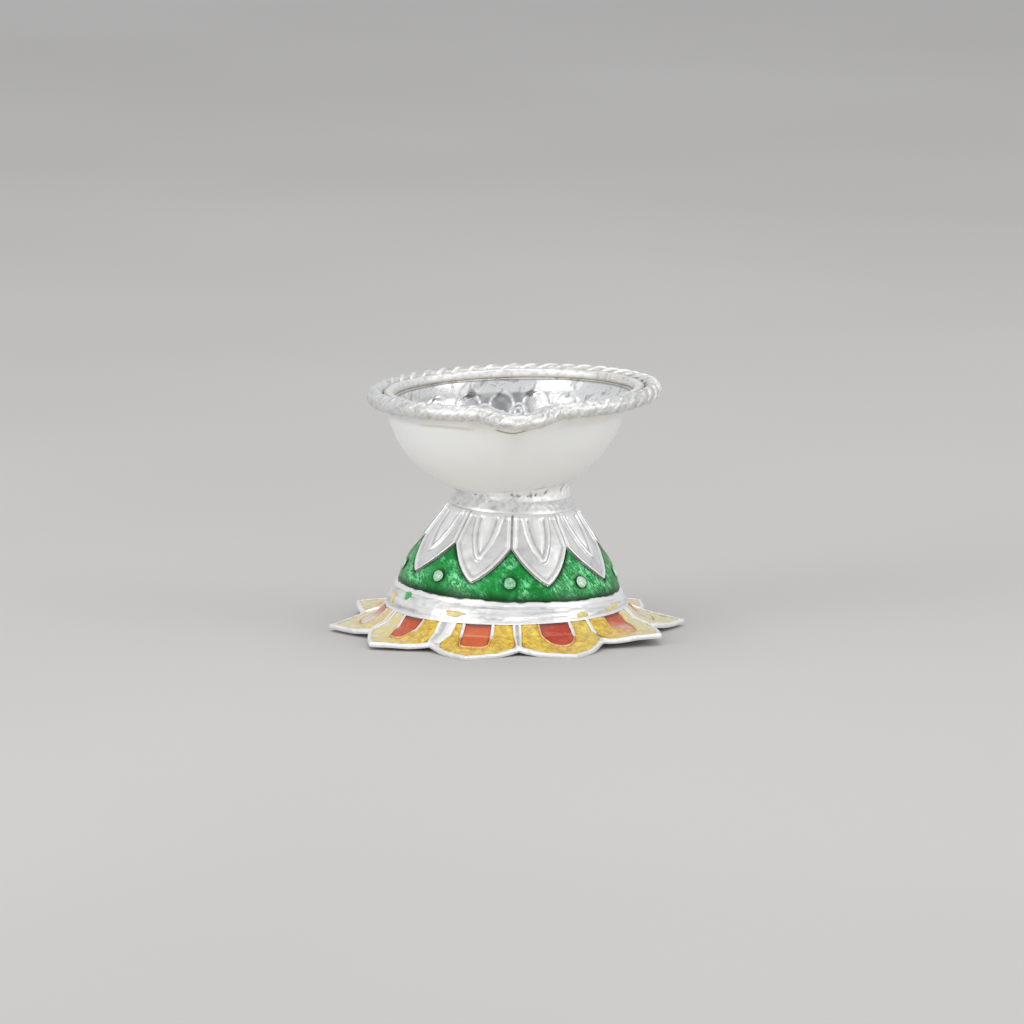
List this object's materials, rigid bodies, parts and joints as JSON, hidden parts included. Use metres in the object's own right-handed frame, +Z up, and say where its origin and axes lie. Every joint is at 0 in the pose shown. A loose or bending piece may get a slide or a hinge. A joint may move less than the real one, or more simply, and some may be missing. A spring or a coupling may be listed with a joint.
{
  "type": "diya oil lamp",
  "caption": "Small silver oil lamp: a round beaked bowl with a rope rim on a stamped petal stand and a flared enamelled foot.",
  "frame": {"origin": "on the table, on the axis of the foot, at the middle of the foot's span", "axes": "+Z up; the beak of the bowl points along -Y; +X to the right of someone who faces the beak"},
  "size_m": [0.05, 0.048, 0.0351],
  "materials": {
    "silver_bowl": "frosted white silver outside, burnished inside",
    "silver_rim": "bright worn silver wire and strip",
    "solder": "rough pitted silver solder",
    "silver_stand": "stamped silver with tool marks",
    "silver_foot": "bright silver border and ribs",
    "enamel_green": "translucent green glass enamel over engraved silver",
    "enamel_red": "glossy orange-red glass enamel",
    "enamel_yellow": "translucent golden yellow glass enamel"
  },
  "bodies": {
    "root": {"bowl": "silver_bowl", "rim_band": "silver_rim", "rope_strand_a": "silver_rim", "rope_strand_b": "silver_rim", "rope_strand_c": "silver_rim", "neck_solder": "solder", "foot_solder": "solder", "pedestal": "silver_stand", "green_enamel": "enamel_green", "flange": "silver_foot", "dot_1": "silver_rim", "dot_2": "silver_rim", "dot_3": "silver_rim", "dot_4": "silver_rim", "dot_5": "silver_rim", "dot_6": "silver_rim", "dot_7": "silver_rim", "dot_8": "silver_rim", "dot_9": "silver_rim", "red_enamel_1": "enamel_red", "red_enamel_2": "enamel_red", "red_enamel_3": "enamel_red", "red_enamel_4": "enamel_red", "red_enamel_5": "enamel_red", "red_enamel_6": "enamel_red", "red_enamel_7": "enamel_red", "red_enamel_8": "enamel_red", "red_enamel_9": "enamel_red", "red_enamel_10": "enamel_red", "yellow_enamel_1": "enamel_yellow", "yellow_enamel_2": "enamel_yellow", "yellow_enamel_3": "enamel_yellow", "yellow_enamel_4": "enamel_yellow", "yellow_enamel_5": "enamel_yellow", "yellow_enamel_6": "enamel_yellow", "yellow_enamel_7": "enamel_yellow", "yellow_enamel_8": "enamel_yellow", "yellow_enamel_9": "enamel_yellow", "yellow_enamel_10": "enamel_yellow"}
  },
  "joints": []
}
